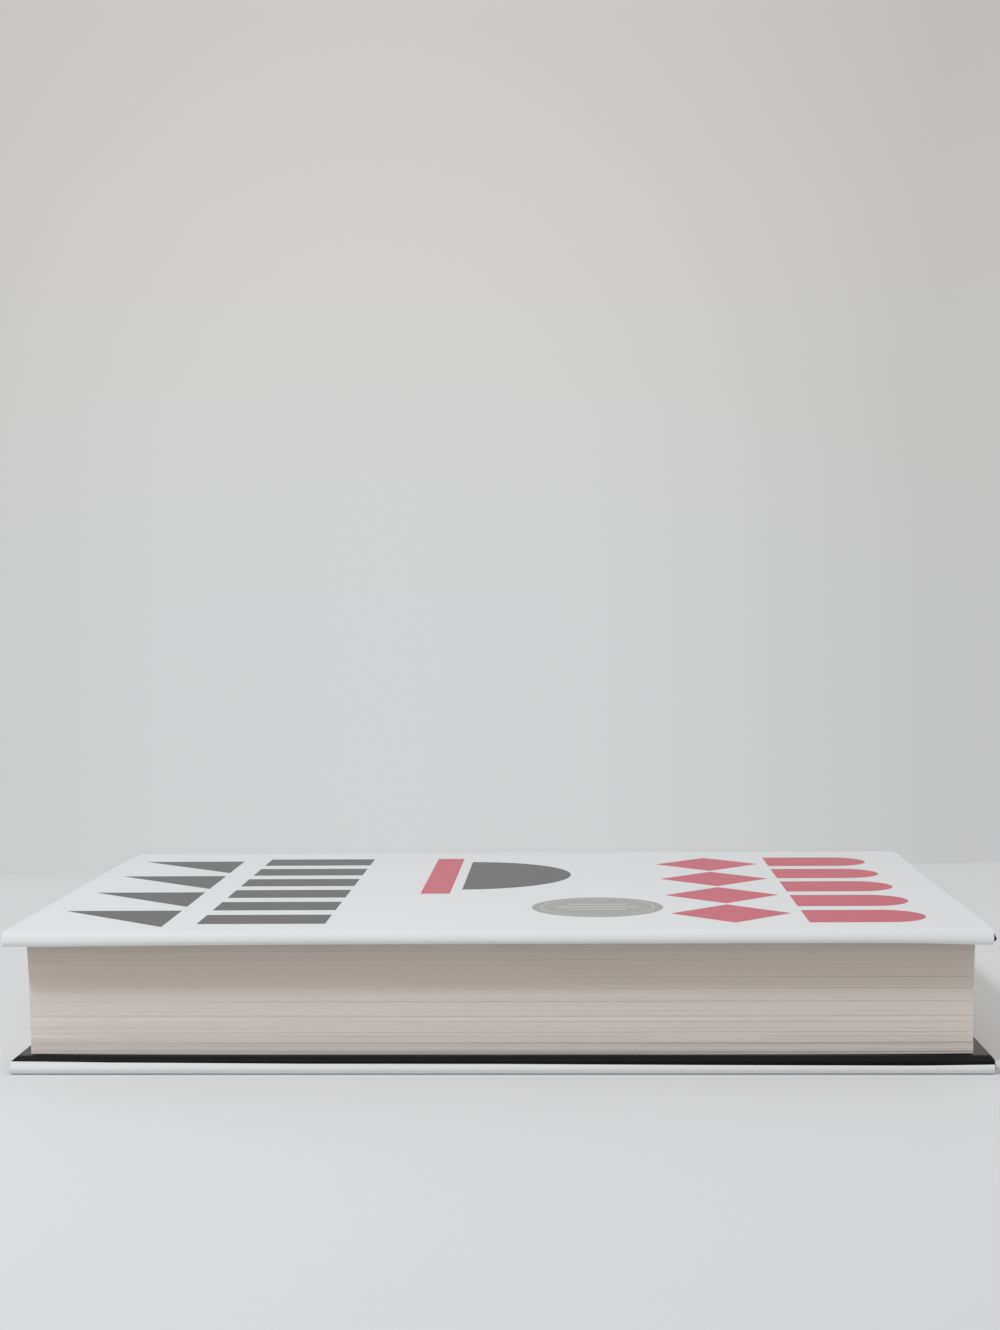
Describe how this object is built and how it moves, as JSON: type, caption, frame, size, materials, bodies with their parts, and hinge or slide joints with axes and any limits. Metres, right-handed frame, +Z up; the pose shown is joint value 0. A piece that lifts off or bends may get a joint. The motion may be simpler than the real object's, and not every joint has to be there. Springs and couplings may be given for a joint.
{
  "type": "hardcover book",
  "caption": "Thick case-bound book lying flat in a white paper jacket with black flaps, with a hollowed fore-edge, rounded back and two covers that open.",
  "frame": {"origin": "middle of the closed book's footprint, on the surface it lies on", "axes": "+X toward the head of the book, -Y toward the fore-edge, +Y toward the spine, +Z up out of the front cover"},
  "size_m": [0.2408, 0.1632, 0.0355],
  "materials": {
    "jacket_paper": "satin laminated",
    "case_paper": "matte black print",
    "flap_black": "satin laminated black print",
    "leaves": "uncoated book paper",
    "endpaper": "uncoated",
    "board": "grey board",
    "spine_card": "thin card",
    "lining_paper": "brown kraft",
    "mull": "open cotton gauze with glue",
    "band_cloth": "woven cotton",
    "red_ink": "satin laminated print",
    "charcoal_ink": "satin laminated print",
    "seal_grey": "satin"
  },
  "bodies": {
    "book_block": {"text_block": "leaves", "front_flyleaf": "endpaper", "back_flyleaf": "endpaper", "spine_mull": "mull", "spine_paper_lining": "lining_paper", "head_band": "band_cloth", "tail_band": "band_cloth", "spine_strip": "spine_card", "spine_covering": "case_paper", "jacket_spine": "jacket_paper"},
    "front_cover": {"front_board": "board", "front_covering": "case_paper", "front_pastedown": "endpaper", "jacket_front": "jacket_paper", "front_flap_ink": "flap_black", "front_ink_red": "red_ink", "front_ink_charcoal": "charcoal_ink", "front_seal": "seal_grey"},
    "back_cover": {"back_board": "board", "back_covering": "case_paper", "back_pastedown": "endpaper", "jacket_back": "jacket_paper", "back_flap_ink": "flap_black"}
  },
  "joints": [
    {"name": "front_cover_hinge", "type": "hinge", "parent": "book_block", "child": "front_cover", "pos_m": [0, 0.07169, 0.03572], "axis": [-1, 0, 0], "range_deg": [0, 180]},
    {"name": "back_cover_hinge", "type": "hinge", "parent": "book_block", "child": "back_cover", "pos_m": [0, 0.07449, -0.0003], "axis": [1, 0, 0], "range_deg": [0, 180]}
  ]
}
